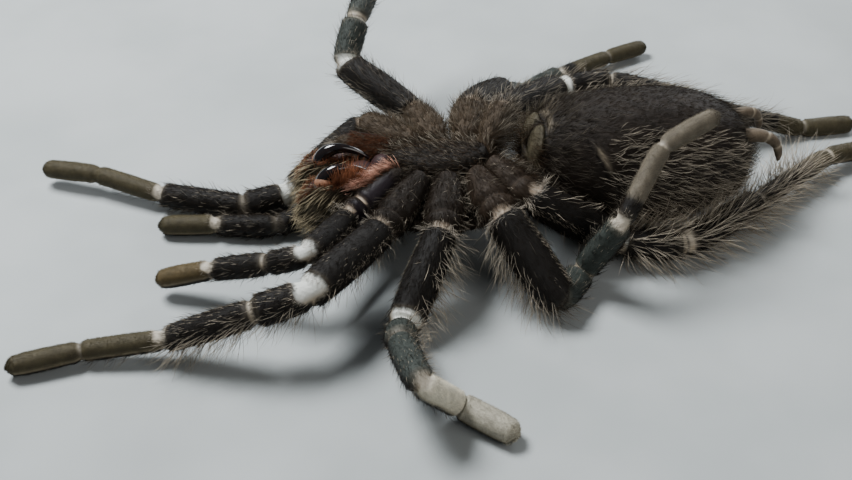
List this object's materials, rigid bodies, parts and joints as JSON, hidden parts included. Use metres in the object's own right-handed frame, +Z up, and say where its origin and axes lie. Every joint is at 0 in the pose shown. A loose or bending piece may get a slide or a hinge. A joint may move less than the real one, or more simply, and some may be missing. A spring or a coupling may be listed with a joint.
{
  "type": "tarantula",
  "caption": "Life-size tarantula lying on its back with the belly up, the fangs folded over the mouth and the legs spread flat, bent and raised.",
  "frame": {"origin": "on the floor, below the middle of the box round the whole spread of the legs", "axes": "+X from the head towards the spinnerets, +Y towards the spider's left side, +Z up, out of the belly"},
  "size_m": [0.1734, 0.1234, 0.0512],
  "materials": {
    "dark_coat": "matte, short dark hair",
    "belly_velvet": "matte, dense velvet hair",
    "foot_pad": "satin, dense brush of fine hair",
    "head_coat": "matte, golden-brown hair",
    "fang_horn": "glossy",
    "spinneret_skin": "satin",
    "eye_gloss": "glossy"
  },
  "bodies": {
    "root": {"carapace": "dark_coat", "sternum": "dark_coat", "eye_mound": "eye_gloss", "abdomen": "belly_velvet", "right_palp_maxilla": "dark_coat", "right_palp_femur": "dark_coat", "right_palp_tibia": "dark_coat", "right_palp_tarsus": "foot_pad", "left_palp_maxilla": "dark_coat", "left_palp_femur": "dark_coat", "left_palp_tibia": "dark_coat", "left_palp_tarsus": "foot_pad", "right_leg_1_coxa": "dark_coat", "right_leg_1_femur": "dark_coat", "right_leg_1_patella": "dark_coat", "right_leg_1_tibia": "dark_coat", "right_leg_1_foot": "foot_pad", "left_leg_1_coxa": "dark_coat", "left_leg_1_femur": "dark_coat", "left_leg_1_patella": "dark_coat", "left_leg_1_tibia": "dark_coat", "left_leg_1_foot": "foot_pad", "right_leg_2_coxa": "dark_coat", "right_leg_2_femur": "dark_coat", "right_leg_2_patella": "dark_coat", "right_leg_2_tibia": "dark_coat", "right_leg_2_foot": "foot_pad", "left_leg_2_coxa": "dark_coat", "left_leg_2_femur": "dark_coat", "left_leg_2_patella": "dark_coat", "left_leg_2_tibia": "dark_coat", "left_leg_2_foot": "foot_pad", "right_leg_3_coxa": "dark_coat", "right_leg_3_femur": "dark_coat", "right_leg_3_patella": "dark_coat", "right_leg_3_tibia": "dark_coat", "right_leg_3_foot": "foot_pad", "left_leg_3_coxa": "dark_coat", "left_leg_3_femur": "dark_coat", "left_leg_3_patella": "dark_coat", "left_leg_3_tibia": "dark_coat", "left_leg_3_foot": "foot_pad", "right_leg_4_coxa": "dark_coat", "right_leg_4_femur": "dark_coat", "right_leg_4_patella": "dark_coat", "right_leg_4_tibia": "dark_coat", "right_leg_4_foot": "foot_pad", "left_leg_4_coxa": "dark_coat", "left_leg_4_femur": "dark_coat", "left_leg_4_patella": "dark_coat", "left_leg_4_tibia": "dark_coat", "left_leg_4_foot": "foot_pad", "right_fang": "fang_horn", "right_chelicera": "head_coat", "right_spinneret": "spinneret_skin", "left_fang": "fang_horn", "left_chelicera": "head_coat", "left_spinneret": "spinneret_skin"}
  },
  "joints": []
}
